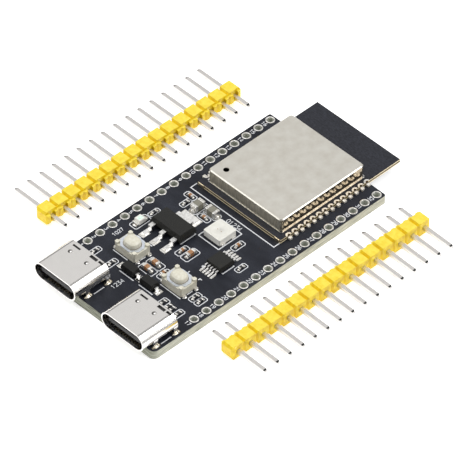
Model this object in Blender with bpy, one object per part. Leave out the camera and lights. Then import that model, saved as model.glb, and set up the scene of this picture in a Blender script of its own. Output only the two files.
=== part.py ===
"""A small microcontroller board with two USB-C ports, two push buttons, a shielded
radio module and two loose 16-way pin strips beside it.

X runs along the board from the USB ports (-X) to the radio module (+X), Y across it
and Z up. The origin is the centre of the pin-hole grid on the board's underside, so
everything stands on z = 0. Every value below is in millimetres.
"""

import math

import bmesh
import bpy
from mathutils import Vector

MM = 0.001  # metres in a millimetre

# Gaps: what is soldered or seated keeps SEAT, what slides keeps SLIDE
SEAT = 0.05
SLIDE = 0.05

# Main board
BOARD_LEFT = -28.2
BOARD_RIGHT = 20.0
BOARD_HALF_Y = 12.45
BOARD_THICK = 1.6
USB_END_CORNER_R = 1.0
RADIO_END_CORNER_R = 0.3

# Pin-hole grid: two rows of HOLES, a standard pitch apart
PITCH = 2.54
HOLES = 16
ROW_Y = 4.5 * PITCH
HOLE_R = 0.5

# USB-C ports
USB_Y = 7.25
USB_FRONT = -29.6
USB_REAR = -22.6
USB_WIDE = 8.94
USB_TALL = 3.16
USB_WALL = 0.25
USB_LEG_X = (-27.0, -22.95)
USB_LEG_Y = 4.32
USB_LEG_WIDE = 0.8
USB_LEG_THICK = 0.25
USB_LEG_END = 0.15
USB_SLOT_LONG = 1.3
USB_SLOT_WIDE = 0.7
USB_SLOTS = (  # from x, to x, from y, to y
    (-23.53, -23.18, 1.1, 2.65),
    (-23.43, -22.87, -2.35, -0.85),
    (-23.3, -22.87, -3.5, -2.6),
)
USB_BLOCK_FRONT = -25.1
TONGUE_FRONT = -28.9
TONGUE_WIDE = 6.69
TONGUE_THICK = 0.7

# Push buttons
BUTTON_X = -15.72
BUTTON_Y = (5.22, -4.82)
BUTTON_SIZE = (3.35, 4.3)
BUTTON_TALL = 1.35
WELL_SIZE = (2.7, 3.1)
WELL_FLOOR = 0.45
POST = 0.62
POST_TALL = 1.75
COVER_SIZE = (3.25, 3.9)
COVER_THICK = 0.12
COVER_CUT = 1.0
PLUNGER_SIZE = (2.3, 2.7)
PLUNGER_TOP = 2.5
PLUNGER_SHOULDER = 2.0
PLUNGER_R = 1.0
PLUNGER_ROUND = 0.85
FLANGE_SIZE = (2.6, 3.0)
FLANGE_THICK = 0.25
STEM_R = 0.5
DOME_R = 1.1
DOME_RISE = 0.3
DOME_THICK = 0.06
DOME_GAP = 0.02

# Regulator, bridge chip and the small packages on the board: centre and size
REGULATOR = dict(centre=(-8.2, 4.3), size=(3.5, 6.5), tall=1.65, draft=0.3)
REGULATOR_LEAD_Y = (-2.3, 0.0, 2.3)
REGULATOR_REACH = 4.0
BRIDGE = dict(centre=(-8.3, -5.9), size=(3.0, 3.0), tall=0.95, draft=0.12)
BRIDGE_LEADS = 5
BRIDGE_PITCH = 0.56
BRIDGE_REACH = 2.95
DIODES = ((-19.0, 2.2), (-19.0, -1.85))
DIODE = dict(size=(1.6, 2.7), tall=1.15, draft=0.14)
DIODE_REACH = 1.9
RGB_CENTRE = (-4.05, -1.4)
RGB_SIZE = 3.5
RGB_TALL = 1.1
RGB_DISH_R = 1.45
RGB_DISH_DEEP = 0.12
POWER_LED = (-10.6, 9.0)
POWER_LED_SIZE = (1.9, 1.15)
POWER_LED_BASE = 0.35
POWER_LED_TALL = 0.75
BULK_CAPACITORS = (((-2.35, 5.1), (2.0, 1.25)), ((-1.75, 2.6), (1.25, 2.0)))
BULK_TALL = 1.1

# Radio module
MODULE_LEFT = 1.2
MODULE_LONG = 25.35
MODULE_HALF_Y = 8.87
MODULE_MIDDLE_Y = -0.1
MODULE_THICK = 0.65
CASTELLATIONS = 14
CASTELLATION_PITCH = 1.27
CASTELLATION_X = 2.95
CASTELLATION_R = 0.25
CAN_LEFT = 2.4
CAN_RIGHT = 20.0
CAN_HALF_Y = 7.85
CAN_TOP = 3.1
CAN_WALL = 0.2
CAN_CORNER_R = 0.6
CAN_EDGE = 0.15
CAN_HOLE = (4.25, 5.8)
CAN_HOLE_R = 0.48
PROCESSOR = ((10.0, 0.5), (7.0, 7.0), 0.85)
MEMORY = ((16.6, 3.6), (4.0, 4.6), 0.75)
CRYSTAL = ((16.4, -3.6), (2.5, 2.0), 0.6)

# Loose pin strips
STRIPS = (((0.0, 20.2), 0.0), ((0.37, -19.53), 178.9))  # centre, then turn in degrees
STRIP_DEEP = 2.54
STRIP_TALL = 2.5
STRIP_GROOVE = 0.42
STRIP_SLOPE = 0.28  # half the width of the groove between two blocks
STRIP_WAIST = 0.25
PIN = 0.64
PIN_FIT = 0.03
PIN_SHORT = 3.0
PIN_LONG = 6.0
PIN_TAPER = 0.45
PIN_TIP = 0.3
STRIP_GAP = 1.0  # between two feet, round a pin
FOOT_TALL = 1.62
FOOT_OUT = 0.46

TOP = BOARD_THICK
SEATED = TOP + SEAT
ROUND_STEPS = 20
ARC_STEPS = 6


# ---------------------------------------------------------------- tools

def clear_scene():
    for old in list(bpy.data.objects):
        bpy.data.objects.remove(old, do_unlink=True)


def finish(name, colour, roughness, metallic=0.0):
    """One Principled material for one sub-part."""
    made = bpy.data.materials.new(name)
    made.use_nodes = True
    shader = made.node_tree.nodes["Principled BSDF"]
    shader.inputs["Base Color"].default_value = (*colour, 1.0)
    shader.inputs["Roughness"].default_value = roughness
    shader.inputs["Metallic"].default_value = metallic
    return made


def add_object(name, mesh, parent=None, place=(0, 0, 0)):
    made = bpy.data.objects.new(name, mesh)
    bpy.context.scene.collection.objects.link(made)
    made.location = Vector(place) * MM
    made.parent = parent
    return made


def mesh_of(name, shapes, material=None):
    """One mesh in metres from functions that each add a closed shape to a bmesh."""
    bm = bmesh.new()
    for shape in shapes:
        shape(bm)
    bmesh.ops.recalc_face_normals(bm, faces=bm.faces)
    bmesh.ops.scale(bm, vec=(MM, MM, MM), verts=bm.verts)
    mesh = bpy.data.meshes.new(name)
    bm.to_mesh(mesh)
    bm.free()
    mesh.shade_smooth()
    mesh.set_sharp_from_angle(angle=math.radians(35))
    if material:
        mesh.materials.append(material)
    return mesh


def solid(name, shapes, material, parent=None, place=(0, 0, 0)):
    return add_object(name, mesh_of(name, shapes, material), parent, place)


def helper(name, shapes, parent=None, place=(0, 0, 0)):
    """A solid that only cuts or adds to another, and isn't a piece itself."""
    made = add_object(name, mesh_of(name, shapes), parent, place)
    made.hide_render = True
    made.display_type = "WIRE"
    return made


def combine(target, other, operation):
    change = target.modifiers.new(operation.lower(), "BOOLEAN")
    change.operation = operation
    change.object = other
    change.solver = "EXACT"


# ---------------------------------------------------------------- shapes

def prism(outline, low, high, axis="Z"):
    """An outline pushed from low to high along an axis; its points are the other two axes."""
    order = {"X": (2, 0, 1), "Y": (0, 2, 1), "Z": (0, 1, 2)}[axis]

    def add(bm):
        rings = []
        for level in (low, high):
            spots = [(a, b, level) for a, b in outline]
            rings.append([bm.verts.new([spot[i] for i in order]) for spot in spots])
        bm.faces.new(rings[0][::-1])
        bm.faces.new(rings[1])
        for i, _ in enumerate(outline):
            j = (i + 1) % len(outline)
            bm.faces.new((rings[0][i], rings[0][j], rings[1][j], rings[1][i]))
    return add


def loft(outlines, levels):
    """Outlines with equal numbers of points, one above the other along Z."""
    def add(bm):
        rings = [
            [bm.verts.new((x, y, level)) for x, y in outline]
            for outline, level in zip(outlines, levels)
        ]
        bm.faces.new(rings[0][::-1])
        bm.faces.new(rings[-1])
        for lower, upper in zip(rings, rings[1:]):
            for i, _ in enumerate(lower):
                j = (i + 1) % len(lower)
                bm.faces.new((lower[i], lower[j], upper[j], upper[i]))
    return add


def rectangle(centre, size):
    half_x, half_y = size[0] / 2, size[1] / 2
    corners = ((-half_x, -half_y), (half_x, -half_y), (half_x, half_y), (-half_x, half_y))
    return [(centre[0] + x, centre[1] + y) for x, y in corners]


def rounded(centre, size, radius, steps=ARC_STEPS, left_radius=None):
    """A rectangle whose corners are arcs; those at -X may have a radius of their own."""
    points = []
    for turn, (sign_x, sign_y) in enumerate(((1, 1), (-1, 1), (-1, -1), (1, -1))):
        bend = left_radius if left_radius and sign_x < 0 else radius
        middle_x = centre[0] + sign_x * (size[0] / 2 - bend)
        middle_y = centre[1] + sign_y * (size[1] / 2 - bend)
        for step in range(steps + 1):
            angle = math.pi / 2 * (turn + step / steps)
            points.append((middle_x + bend * math.cos(angle), middle_y + bend * math.sin(angle)))
    return points


def chamfered(centre, size, cut):
    """A rectangle with its corners cut off at 45 degrees."""
    return rounded(centre, size, cut, steps=1)


def circle(centre, radius, steps=ROUND_STEPS):
    angles = [2 * math.pi * step / steps for step in range(steps)]
    return [(centre[0] + radius * math.cos(a), centre[1] + radius * math.sin(a)) for a in angles]


def box(centre, size, low, high):
    return prism(rectangle(centre, size), low, high)


def moulded(centre, size, tall, draft, low=SEATED):
    """A chip body: widest at its parting line, drawn in by the draft above and below."""
    inset = (size[0] - 2 * draft, size[1] - 2 * draft)
    lower = rectangle(centre, inset)
    return loft([lower, rectangle(centre, size), lower], [low, low + 0.45 * tall, low + tall])


def lead(centre, start, reach, wide, thick, height, axis, side):
    """A gull-wing lead: out of the body at a height, down, and out along the board."""
    bend = start + 0.3 * (reach - start)
    knee = bend + thick
    low = SEATED
    profile = [
        (start - 0.3, height), (bend, height), (bend, low), (reach, low),
        (reach, low + thick), (knee, low + thick), (knee, height + thick),
        (start - 0.3, height + thick),
    ]
    if axis == "X":
        outline = [(centre[0] + side * distance, z) for distance, z in profile]
        return prism(outline, centre[1] - wide / 2, centre[1] + wide / 2, "Y")
    outline = [(centre[1] + side * distance, z) for distance, z in profile]
    return prism(outline, centre[0] - wide / 2, centre[0] + wide / 2, "X")


# ---------------------------------------------------------------- main board

def usb_leg_places():
    for port_y in (USB_Y, -USB_Y):
        for leg_x in USB_LEG_X:
            for side in (1, -1):
                yield leg_x, port_y + side * USB_LEG_Y


def hole_places():
    for row in (ROW_Y, -ROW_Y):
        for i in range(HOLES):
            yield (i - (HOLES - 1) / 2) * PITCH, row


def make_board():
    centre = ((BOARD_LEFT + BOARD_RIGHT) / 2, 0)
    size = (BOARD_RIGHT - BOARD_LEFT, 2 * BOARD_HALF_Y)
    outline = rounded(centre, size, RADIO_END_CORNER_R, left_radius=USB_END_CORNER_R)
    mask = finish("solder_mask", (0.02, 0.022, 0.03), 0.45)
    board = solid("main_board", [prism(outline, 0, BOARD_THICK)], mask)
    drills = [prism(circle(place, HOLE_R), -1, BOARD_THICK + 1) for place in hole_places()]
    slot = (USB_SLOT_LONG, USB_SLOT_WIDE)
    drills += [
        prism(rounded(place, slot, USB_SLOT_WIDE / 2, steps=4), -1, BOARD_THICK + 1)
        for place in usb_leg_places()
    ]
    combine(board, helper("board_drills", drills), "DIFFERENCE")


# ---------------------------------------------------------------- USB-C ports

def usb_section(shrink):
    """The port's cross-section, a slot with fully round ends, drawn in all round."""
    centre = (0, SEATED + USB_TALL / 2)
    size = (USB_WIDE - 2 * shrink, USB_TALL - 2 * shrink)
    return rounded(centre, size, size[1] / 2 - 0.001, steps=8)


def make_usb_port(number, port_y):
    nickel = finish("usb_nickel", (0.7, 0.68, 0.66), 0.3, 1.0)
    black = finish("usb_insert_plastic", (0.015, 0.015, 0.017), 0.5)
    place = (0, port_y, 0)
    shell = solid(
        f"usb_port_{number}_shell",
        [prism(usb_section(0), USB_FRONT, USB_REAR, "X")],
        nickel, place=place,
    )
    mouth = prism(usb_section(USB_WALL), USB_FRONT - 1, USB_REAR - USB_WALL, "X")
    combine(shell, helper(f"usb_{number}_mouth", [mouth], place=place), "DIFFERENCE")
    slots = [
        box(((x0 + x1) / 2, (y0 + y1) / 2), (x1 - x0, y1 - y0), TOP + 2.3, TOP + 5)
        for x0, x1, y0, y1 in USB_SLOTS
    ]
    combine(shell, helper(f"usb_{number}_slots", slots, place=place), "DIFFERENCE")
    leg_top = SEATED + USB_TALL / 2
    legs = [
        box((leg_x, side * USB_LEG_Y), (USB_LEG_WIDE, USB_LEG_THICK), USB_LEG_END, leg_top)
        for leg_x in USB_LEG_X for side in (1, -1)
    ]
    combine(shell, helper(f"usb_{number}_legs", legs, place=place), "UNION")
    insert = solid(
        f"usb_port_{number}_insert",
        [prism(usb_section(USB_WALL + SEAT), USB_BLOCK_FRONT, USB_REAR - USB_WALL - SEAT, "X")],
        black, place=place,
    )
    middle = SEATED + USB_TALL / 2
    tongue = box(
        ((TONGUE_FRONT + USB_BLOCK_FRONT) / 2, 0),
        (USB_BLOCK_FRONT - TONGUE_FRONT + 0.4, TONGUE_WIDE),
        middle - TONGUE_THICK / 2, middle + TONGUE_THICK / 2,
    )
    combine(insert, helper(f"usb_{number}_tongue", [tongue], place=place), "UNION")


# ---------------------------------------------------------------- push buttons

def dome_shape():
    """A thin spherical cap, its rim on the well's floor."""
    floor = SEATED + WELL_FLOOR + DOME_GAP
    rings = 5

    def add(bm):
        layers = []
        for lift in (DOME_THICK, 0.0):
            for ring in range(rings):
                reach = DOME_R * (1 - ring / rings)
                rise = DOME_RISE * (1 - (reach / DOME_R) ** 2) + lift
                spots = circle((0, 0), reach, 16)
                layers.append([bm.verts.new((x, y, floor + rise)) for x, y in spots])
            crown = bm.verts.new((0, 0, floor + DOME_RISE + lift))
            skin = layers[-rings:]
            for outer, inner in zip(skin, skin[1:]):
                bridge(bm, outer, inner)
            for i, spot in enumerate(skin[-1]):
                bm.faces.new((spot, skin[-1][(i + 1) % len(skin[-1])], crown))
        bridge(bm, layers[0], layers[rings])
    return add


def bridge(bm, first, second):
    for i, _ in enumerate(first):
        j = (i + 1) % len(first)
        bm.faces.new((first[i], first[j], second[j], second[i]))


def make_button(number, button_y):
    ivory = finish("button_ivory", (0.8, 0.76, 0.66), 0.45)
    steel = finish("button_cover_steel", (0.72, 0.74, 0.78), 0.28, 1.0)
    spring = finish("button_dome_steel", (0.65, 0.63, 0.58), 0.3, 1.0)
    place = (BUTTON_X, button_y, 0)
    base_top = SEATED + BUTTON_TALL
    base = solid(
        f"button_{number}_base",
        [prism(rounded((0, 0), BUTTON_SIZE, 0.25, steps=3), SEATED, base_top)],
        ivory, place=place,
    )
    post_x, post_y = (BUTTON_SIZE[0] - POST) / 2, (BUTTON_SIZE[1] - POST) / 2
    posts = [
        prism(chamfered((sx * post_x, sy * post_y), (POST, POST), 0.12), base_top - 0.3, TOP + POST_TALL)
        for sx in (1, -1) for sy in (1, -1)
    ]
    combine(base, helper(f"button_{number}_posts", posts, place=place), "UNION")
    well = prism(rounded((0, 0), WELL_SIZE, 0.9), SEATED + WELL_FLOOR, base_top + 1)
    combine(base, helper(f"button_{number}_well", [well], place=place), "DIFFERENCE")

    cover_low = base_top + SEAT
    cover = solid(
        f"button_{number}_cover",
        [prism(chamfered((0, 0), COVER_SIZE, COVER_CUT), cover_low, cover_low + COVER_THICK)],
        steel, place=place,
    )
    opening = (PLUNGER_SIZE[0] + 2 * SLIDE, PLUNGER_SIZE[1] + 2 * SLIDE)
    hole = prism(rounded((0, 0), opening, PLUNGER_R + SLIDE), 0, TOP + 5)
    combine(cover, helper(f"button_{number}_opening", [hole], place=place), "DIFFERENCE")

    axis = bpy.data.objects.new(f"button_{number}_axis", None)
    bpy.context.scene.collection.objects.link(axis)
    axis.location = Vector(place) * MM
    flange_top = cover_low - SEAT - DOME_GAP
    plunger = solid(
        f"button_{number}_plunger",
        [plunger_shape(flange_top)],
        ivory, parent=axis,
    )
    flange = prism(rounded((0, 0), FLANGE_SIZE, 0.85), flange_top - FLANGE_THICK, flange_top)
    stem_low = SEATED + WELL_FLOOR + DOME_RISE + DOME_THICK + 2 * DOME_GAP
    stem = prism(circle((0, 0), STEM_R, 16), stem_low, flange_top - FLANGE_THICK / 2)
    combine(plunger, helper(f"button_{number}_flange", [flange], parent=axis), "UNION")
    combine(plunger, helper(f"button_{number}_stem", [stem], parent=axis), "UNION")
    solid(f"button_{number}_dome", [dome_shape()], spring, place=place)


def plunger_shape(low):
    """The head: straight up to its shoulder, then rounded over in three steps to its top."""
    shoulder = TOP + PLUNGER_SHOULDER
    outlines = [rounded((0, 0), PLUNGER_SIZE, PLUNGER_R)] * 2
    levels = [low - 0.1, shoulder]
    for step in (1, 2, 3):
        angle = math.pi / 2 * step / 3
        inset = PLUNGER_ROUND * (1 - math.cos(angle))
        size = (PLUNGER_SIZE[0] - 2 * inset, PLUNGER_SIZE[1] - 2 * inset)
        outlines.append(rounded((0, 0), size, PLUNGER_R - inset))
        levels.append(shoulder + (PLUNGER_TOP - PLUNGER_SHOULDER) * math.sin(angle))
    return loft(outlines, levels)


# ---------------------------------------------------------------- chips and lights

def make_regulator():
    plastic = finish("regulator_plastic", (0.018, 0.017, 0.016), 0.55)
    centre = REGULATOR["centre"]
    body = solid("voltage_regulator", [moulded(**REGULATOR)], plastic)
    half = REGULATOR["size"][0] / 2
    leads = [
        lead((centre[0], centre[1] + y), half, REGULATOR_REACH, 0.75, 0.25, TOP + 0.75, "X", -1)
        for y in REGULATOR_LEAD_Y
    ]
    leads.append(lead(centre, half, REGULATOR_REACH, 3.1, 0.25, TOP + 0.75, "X", 1))
    combine(body, helper("regulator_leads", leads), "UNION")


def make_bridge_chip():
    plastic = finish("bridge_chip_plastic", (0.02, 0.019, 0.018), 0.5)
    centre = BRIDGE["centre"]
    body = solid("usb_bridge_chip", [moulded(**BRIDGE)], plastic)
    rows = [(i - (BRIDGE_LEADS - 1) / 2) * BRIDGE_PITCH for i in range(BRIDGE_LEADS)]
    flank = BRIDGE["size"][0] / 2
    leads = [
        lead((centre[0], centre[1] + y), flank, BRIDGE_REACH, 0.24, 0.13, TOP + 0.45, "X", side)
        for y in rows for side in (1, -1)
    ]
    combine(body, helper("bridge_leads", leads), "UNION")


def make_diodes():
    plastic = finish("diode_plastic", (0.02, 0.019, 0.018), 0.5)
    for number, centre in enumerate(DIODES, start=1):
        body = solid(f"diode_{number}", [moulded(centre, **DIODE)], plastic)
        ends = [
            lead(centre, DIODE["size"][1] / 2, DIODE_REACH, 0.6, 0.15, TOP + 0.5, "Y", side)
            for side in (1, -1)
        ]
        combine(body, helper(f"diode_{number}_leads", ends), "UNION")


def make_lights():
    white = finish("led_white", (0.85, 0.84, 0.8), 0.35)
    low = SEATED
    size = (RGB_SIZE, RGB_SIZE)
    rgb = solid("rgb_led", [prism(chamfered(RGB_CENTRE, size, 0.12), low, low + RGB_TALL)], white)
    dish = prism(circle(RGB_CENTRE, RGB_DISH_R, 32), low + RGB_TALL - RGB_DISH_DEEP, low + 3)
    combine(rgb, helper("rgb_dish", [dish]), "DIFFERENCE")

    shades = [1.0, 1.0, 0.7, 0.62]
    levels = [low, low + POWER_LED_BASE, low + POWER_LED_BASE, low + POWER_LED_TALL]
    sizes = [(POWER_LED_SIZE[0] * shade, POWER_LED_SIZE[1]) for shade in shades]
    solid(
        "power_led",
        [loft([rectangle(POWER_LED, size) for size in sizes], levels)],
        white,
    )


def make_bulk_capacitors():
    ceramic = finish("capacitor_ceramic", (0.33, 0.27, 0.19), 0.4)
    for number, (centre, size) in enumerate(BULK_CAPACITORS, start=1):
        shape = prism(chamfered(centre, size, 0.08), SEATED, SEATED + BULK_TALL)
        solid(f"bulk_capacitor_{number}", [shape], ceramic)


# ---------------------------------------------------------------- radio module

def make_module():
    mask = finish("module_mask", (0.012, 0.012, 0.013), 0.5)
    centre = (MODULE_LEFT + MODULE_LONG / 2, MODULE_MIDDLE_Y)
    floor = SEATED + MODULE_THICK
    board = solid(
        "module_board",
        [prism(rectangle(centre, (MODULE_LONG, 2 * MODULE_HALF_Y)), SEATED, floor)],
        mask,
    )
    bites = []
    for i in range(CASTELLATIONS):
        for edge in (MODULE_MIDDLE_Y + MODULE_HALF_Y, MODULE_MIDDLE_Y - MODULE_HALF_Y):
            middle = (CASTELLATION_X + i * CASTELLATION_PITCH, edge)
            bites.append(prism(circle(middle, CASTELLATION_R, 12), 0, TOP + CAN_TOP))
    combine(board, helper("castellation_drills", bites), "DIFFERENCE")
    make_can(floor + SEAT)
    packages = (
        ("processor_chip", PROCESSOR, (0.02, 0.02, 0.022)),
        ("memory_chip", MEMORY, (0.02, 0.02, 0.022)),
        ("clock_crystal", CRYSTAL, (0.6, 0.58, 0.55)),
    )
    for name, (middle, size, tall), colour in packages:
        shape = prism(chamfered(middle, size, 0.1), floor + SEAT, floor + SEAT + tall)
        solid(name, [shape], finish(name, colour, 0.45))


def make_can(low):
    tin = finish("can_tin", (0.62, 0.6, 0.56), 0.35, 1.0)
    centre = ((CAN_LEFT + CAN_RIGHT) / 2, 0)
    size = (CAN_RIGHT - CAN_LEFT, 2 * CAN_HALF_Y)
    top = TOP + CAN_TOP
    drawn = (size[0] - 2 * CAN_EDGE, size[1] - 2 * CAN_EDGE)
    outlines = [
        rounded(centre, size, CAN_CORNER_R),
        rounded(centre, size, CAN_CORNER_R),
        rounded(centre, drawn, CAN_CORNER_R - CAN_EDGE),
    ]
    can = solid("shield_can", [loft(outlines, [low, top - CAN_EDGE, top])], tin)
    inner = (size[0] - 2 * CAN_WALL, size[1] - 2 * CAN_WALL)
    hollow = prism(rounded(centre, inner, CAN_CORNER_R - CAN_WALL), low - 1, top - CAN_EDGE)
    combine(can, helper("can_hollow", [hollow]), "DIFFERENCE")
    hole = prism(circle(CAN_HOLE, CAN_HOLE_R, 16), low, top + 1)
    combine(can, helper("can_hole", [hole]), "DIFFERENCE")


# ---------------------------------------------------------------- pin strips

def strip_shape():
    """Sixteen blocks in a row along X, drawn in to a waist all round where each meets the next."""
    def section(x, groove, waist):
        half_y = STRIP_DEEP / 2 - waist
        return [
            (x, -half_y, groove), (x, half_y, groove),
            (x, half_y, STRIP_TALL - groove), (x, -half_y, STRIP_TALL - groove),
        ]

    def add(bm):
        rings = []
        for i in range(HOLES):
            left = (i - HOLES / 2) * PITCH
            right = left + PITCH
            full = [(left + STRIP_SLOPE, 0, 0), (right - STRIP_SLOPE, 0, 0)]
            start = [(left, STRIP_GROOVE, STRIP_WAIST)] if i == 0 else []
            for station in start + full + [(right, STRIP_GROOVE, STRIP_WAIST)]:
                rings.append([bm.verts.new(spot) for spot in section(*station)])
        bm.faces.new(rings[0])
        bm.faces.new(rings[-1][::-1])
        for first, second in zip(rings, rings[1:]):
            bridge(bm, first, second)
    return add


def pin_shape():
    """A square pin along Y, its ends drawn to a blunt point. Its middle is the housing's."""
    stations = (
        (-STRIP_DEEP / 2 - PIN_SHORT, PIN_TIP),
        (-STRIP_DEEP / 2 - PIN_SHORT + PIN_TAPER, PIN),
        (STRIP_DEEP / 2 + PIN_LONG - PIN_TAPER, PIN),
        (STRIP_DEEP / 2 + PIN_LONG, PIN_TIP),
    )

    def add(bm):
        rings = []
        for y, wide in stations:
            spots = rectangle((0, 0), (wide, wide))
            rings.append([bm.verts.new((x, y, z)) for x, z in spots])
        bm.faces.new(rings[0])
        bm.faces.new(rings[-1][::-1])
        for lower, upper in zip(rings, rings[1:]):
            bridge(bm, lower, upper)
    return add


def make_strips():
    yellow = finish("strip_yellow", (0.93, 0.74, 0.05), 0.4)
    tinned = finish("pin_tin", (0.62, 0.6, 0.58), 0.3, 1.0)
    pin_mesh = mesh_of("pin", [pin_shape()], tinned)
    spots = [(i - (HOLES - 1) / 2) * PITCH for i in range(HOLES)]
    bore = (PIN + 2 * PIN_FIT, PIN + 2 * PIN_FIT)
    middle = STRIP_TALL / 2
    cuts = [prism(rectangle((x, middle), bore), -STRIP_DEEP, STRIP_DEEP, "Y") for x in spots]
    foot_end = -STRIP_DEEP / 2 + FOOT_OUT
    gap, rim = (STRIP_GAP, 2 * STRIP_TALL), (2 * HOLES * PITCH, STRIP_TALL)
    rim_out = (FOOT_TALL + STRIP_TALL) / 2
    gaps = [prism(rectangle((x, middle), gap), -STRIP_DEEP, foot_end, "Y") for x in spots]
    rims = [
        prism(rectangle((0, middle + side * rim_out), rim), -STRIP_DEEP, foot_end, "Y") for side in (1, -1)
    ]
    for number, ((strip_x, strip_y), turn) in enumerate(STRIPS, start=1):
        seat = bpy.data.objects.new(f"header_{number}_seat", None)
        bpy.context.scene.collection.objects.link(seat)
        seat.location = Vector((strip_x, strip_y, 0)) * MM
        seat.rotation_euler[2] = math.radians(turn)
        housing = solid(f"header_{number}_housing", [strip_shape()], yellow, parent=seat)
        combine(housing, helper(f"strip_{number}_bores", cuts, parent=seat), "DIFFERENCE")
        combine(housing, helper(f"strip_{number}_gaps", gaps, parent=seat), "DIFFERENCE")
        combine(housing, helper(f"strip_{number}_rims", rims, parent=seat), "DIFFERENCE")
        for i, x in enumerate(spots, start=1):
            add_object(f"header_{number}_pin_{i:02d}", pin_mesh, seat, (x, 0, middle))


clear_scene()
make_board()
for port, where in enumerate((USB_Y, -USB_Y), start=1):
    make_usb_port(port, where)
for button, where in enumerate(BUTTON_Y, start=1):
    make_button(button, where)
make_regulator()
make_bridge_chip()
make_diodes()
make_lights()
make_bulk_capacitors()
make_module()
make_strips()
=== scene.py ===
"""A microcontroller board with two USB-C ports and a screened radio module, and its two loose pin
strips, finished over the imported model. Lengths are in millimetres until a mesh is made."""
import math

import bmesh
import bpy
from mathutils import Matrix, Vector


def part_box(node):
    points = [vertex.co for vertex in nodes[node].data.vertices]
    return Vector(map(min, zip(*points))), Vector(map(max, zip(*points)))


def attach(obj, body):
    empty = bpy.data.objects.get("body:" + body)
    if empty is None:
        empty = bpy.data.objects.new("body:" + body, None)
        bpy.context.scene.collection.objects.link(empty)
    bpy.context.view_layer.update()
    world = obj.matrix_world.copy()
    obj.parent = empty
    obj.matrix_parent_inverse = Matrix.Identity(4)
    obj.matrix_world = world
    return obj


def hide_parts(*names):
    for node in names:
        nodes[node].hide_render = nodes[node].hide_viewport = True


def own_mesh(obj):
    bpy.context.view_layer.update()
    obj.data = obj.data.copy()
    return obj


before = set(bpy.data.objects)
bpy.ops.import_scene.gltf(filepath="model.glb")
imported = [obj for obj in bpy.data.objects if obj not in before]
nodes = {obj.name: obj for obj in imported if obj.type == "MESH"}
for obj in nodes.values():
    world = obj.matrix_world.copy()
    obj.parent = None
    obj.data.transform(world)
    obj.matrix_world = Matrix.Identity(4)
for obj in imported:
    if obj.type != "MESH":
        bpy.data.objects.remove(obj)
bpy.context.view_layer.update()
MM = 0.001

# The camera is a long lens, high over the corner between the two USB-C ports.
LENS = 425.8
CAMERA_SPOT = Vector((-414.16, -423.19, 573.63))
CAMERA_AIM = Vector((-2.275, -2.276, 1.6))
CAMERA_ROLL = math.radians(0.326)

camera = bpy.data.objects.new("camera", bpy.data.cameras.new("camera"))
bpy.context.scene.collection.objects.link(camera)
camera.data.lens = LENS
camera.data.sensor_width = 36
camera.data.clip_start = 0.01
camera.data.clip_end = 10
facing = (CAMERA_AIM - CAMERA_SPOT).to_track_quat("-Z", "Y").to_matrix().to_4x4()
camera.matrix_world = Matrix.Translation(CAMERA_SPOT * MM) @ facing @ Matrix.Rotation(CAMERA_ROLL, 4, "Z")
bpy.context.scene.camera = camera
bpy.context.scene.view_settings.view_transform = "Standard"


def softbox(name, spot, size, power):
    light = bpy.data.lights.new(name, "AREA")
    light.shape = "RECTANGLE"
    light.size = light.size_y = size
    light.energy = power
    lamp = bpy.data.objects.new(name, light)
    bpy.context.scene.collection.objects.link(lamp)
    lamp.location = spot
    lamp.rotation_euler = (-Vector(spot)).to_track_quat("-Z", "Y").to_euler()


softbox("overhead_light", (-0.15, 0.25, 0.9), 0.8, 4.9)
softbox("back_light", (0.7, 0.7, 0.95), 1.1, 1.9)
softbox("side_light", (0.45, -0.5, 0.62), 0.62, 4.8)
softbox("edge_light", (-0.6, 0.45, 0.43), 0.4, 1.1)

world = bpy.data.worlds.new("studio")
bpy.context.scene.world = world
world.use_nodes = True
sky = world.node_tree.nodes["Background"].inputs
sky["Color"].default_value = (1.0, 0.995, 0.985, 1)
sky["Strength"].default_value = 0.31

TABLE_REACH = 3000
TABLE_DROP = 0.03  # below the board, so that the two never share a face
sweep = bpy.data.meshes.new("table")
corners = [(x * TABLE_REACH * MM, y * TABLE_REACH * MM, 0) for x, y in ((-1, -1), (1, -1), (1, 1), (-1, 1))]
sweep.from_pydata(corners, [], [(0, 1, 2, 3)])
table = bpy.data.objects.new("table", sweep)
bpy.context.scene.collection.objects.link(table)
table.location.z = -TABLE_DROP * MM
paper = bpy.data.materials.new("white_sweep")
paper.use_nodes = True
paper_sockets = paper.node_tree.nodes["Principled BSDF"].inputs
paper_sockets["Base Color"].default_value = (0.95, 0.95, 0.95, 1)
paper_sockets["Roughness"].default_value = 0.9
paper_sockets["Emission Color"].default_value = (1, 1, 1, 1)
paper_sockets["Emission Strength"].default_value = 0.5
sweep.materials.append(paper)

# ---------------------------------------------------------------- the main board
# A 1.6 mm glass-epoxy board: dark blue-black solder mask over copper on both faces, and bare
# sawn laminate, a pale grey-green, round its edges, painted darker on the edges that face along X:
# painted shade. The mask shows a faint speckle.


def shader(name, colour, roughness, metallic=0.0, **sockets):
    """A material with its main shader, ready for nodes to drive its colour, roughness and bump."""
    material = bpy.data.materials.new(name)
    material.use_nodes = True
    bsdf = material.node_tree.nodes["Principled BSDF"]
    bsdf.inputs["Base Color"].default_value = (*colour, 1)
    bsdf.inputs["Roughness"].default_value = roughness
    bsdf.inputs["Metallic"].default_value = metallic
    for socket, value in sockets.items():
        bsdf.inputs[socket.replace("_", " ")].default_value = value
    return material, bsdf


def node(material, kind, inputs=(), **settings):
    """A shader node whose inputs are numbers, colours or other nodes' outputs."""
    made = material.node_tree.nodes.new("ShaderNode" + kind)
    for setting, value in settings.items():
        setattr(made, setting, value)
    for key, value in dict(inputs).items():
        if isinstance(value, bpy.types.NodeSocket):
            material.node_tree.links.new(value, made.inputs[key])
        else:
            made.inputs[key].default_value = value
    return made


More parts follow.
